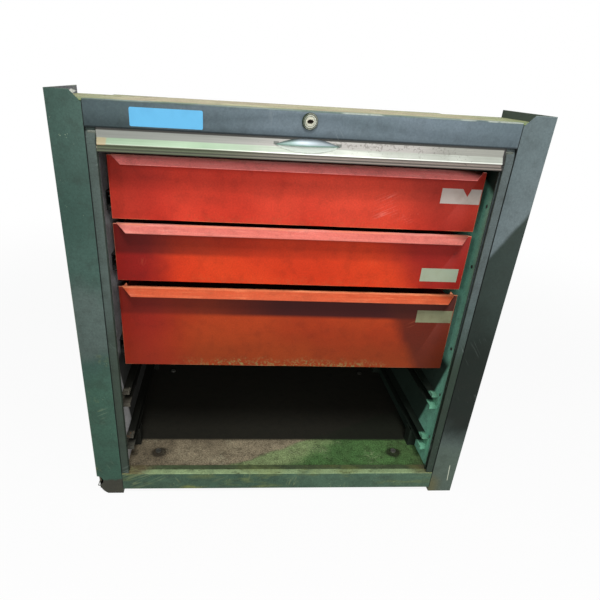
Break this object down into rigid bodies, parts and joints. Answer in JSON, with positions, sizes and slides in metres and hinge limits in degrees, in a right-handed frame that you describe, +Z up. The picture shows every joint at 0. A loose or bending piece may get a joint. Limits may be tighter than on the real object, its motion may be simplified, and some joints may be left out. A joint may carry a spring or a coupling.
{
  "type": "tambour tool cabinet",
  "caption": "Steel tool cabinet with a roll-down tambour shutter, a header lock, pull-out drawers on side rails and an open lower bay.",
  "frame": {"origin": "under the middle of the cabinet's plan, at floor level", "axes": "+Z up, the front faces -Y, +X towards the right-hand side as seen from the front"},
  "size_m": [0.66, 0.4582, 0.6515],
  "materials": {
    "green_enamel": "worn grey-green workshop enamel",
    "red_enamel": "worn red enamel, rusty towards the bottom edges",
    "aluminium": "dull extruded aluminium, scuffed",
    "chrome": "bright plated metal with fine pitting",
    "bare_steel": "zinc plated steel, dulled",
    "nylon": "natural nylon",
    "paper_white": "white paper label, torn and blank",
    "paper_mint": "pale paper label, blank",
    "paper_grey": "soiled paper label, blank",
    "sticker_blue": "sky-blue sticker, blank"
  },
  "bodies": {
    "cabinet": {"back_panel": "green_enamel", "back_screws": "bare_steel", "curtain_slats": "bare_steel", "floor_bolts": "bare_steel", "floor_nuts": "bare_steel", "floor_pan": "green_enamel", "front_sill": "green_enamel", "header": "green_enamel", "header_label": "sticker_blue", "liner_left": "green_enamel", "liner_right": "green_enamel", "lock_body": "chrome", "lock_clip": "bare_steel", "post_left": "green_enamel", "post_right": "green_enamel", "rail_1_left": "green_enamel", "rail_1_right": "green_enamel", "rail_2_left": "green_enamel", "rail_2_right": "green_enamel", "rail_3_left": "green_enamel", "rail_3_right": "green_enamel", "rail_rivets": "bare_steel", "roof_track_left": "green_enamel", "roof_track_right": "green_enamel", "side_panel_left": "green_enamel", "side_panel_right": "green_enamel", "spare_rails_left": "green_enamel", "spare_rails_right": "green_enamel", "top_deck": "green_enamel", "track_left": "green_enamel", "track_right": "green_enamel"},
    "shutter": {"curtain_drop": "bare_steel", "guide_left": "nylon", "guide_right": "nylon", "rail_pull": "chrome", "tambour_rail": "aluminium"},
    "lock_cylinder": {"cam_screw": "bare_steel", "lock_cam": "bare_steel", "lock_plug": "chrome"},
    "drawer_1": {"drawer_1_front": "red_enamel", "drawer_1_label": "paper_white", "drawer_1_runner_left": "bare_steel", "drawer_1_runner_right": "bare_steel", "drawer_1_tray": "red_enamel"},
    "drawer_2": {"drawer_2_front": "red_enamel", "drawer_2_label": "paper_mint", "drawer_2_runner_left": "bare_steel", "drawer_2_runner_right": "bare_steel", "drawer_2_tray": "red_enamel"},
    "drawer_3": {"drawer_3_front": "red_enamel", "drawer_3_label": "paper_grey", "drawer_3_runner_left": "bare_steel", "drawer_3_runner_right": "bare_steel", "drawer_3_tray": "red_enamel"}
  },
  "joints": [
    {"name": "shutter_slide", "type": "slide", "parent": "cabinet", "child": "shutter", "axis": [0, 0, -1], "range_m": [0, 0.535], "deforming": ["curtain_drop"]},
    {"name": "lock_turn", "type": "hinge", "parent": "cabinet", "child": "lock_cylinder", "pos_m": [0, -0.22175, 0.63], "axis": [0, 1, 0], "range_deg": [0, 90]},
    {"name": "drawer_1_slide", "type": "slide", "parent": "cabinet", "child": "drawer_1", "axis": [0, 1, 0], "range_m": [-0.34, 0]},
    {"name": "drawer_2_slide", "type": "slide", "parent": "cabinet", "child": "drawer_2", "axis": [0, 1, 0], "range_m": [-0.34, 0]},
    {"name": "drawer_3_slide", "type": "slide", "parent": "cabinet", "child": "drawer_3", "axis": [0, 1, 0], "range_m": [-0.34, 0]}
  ]
}
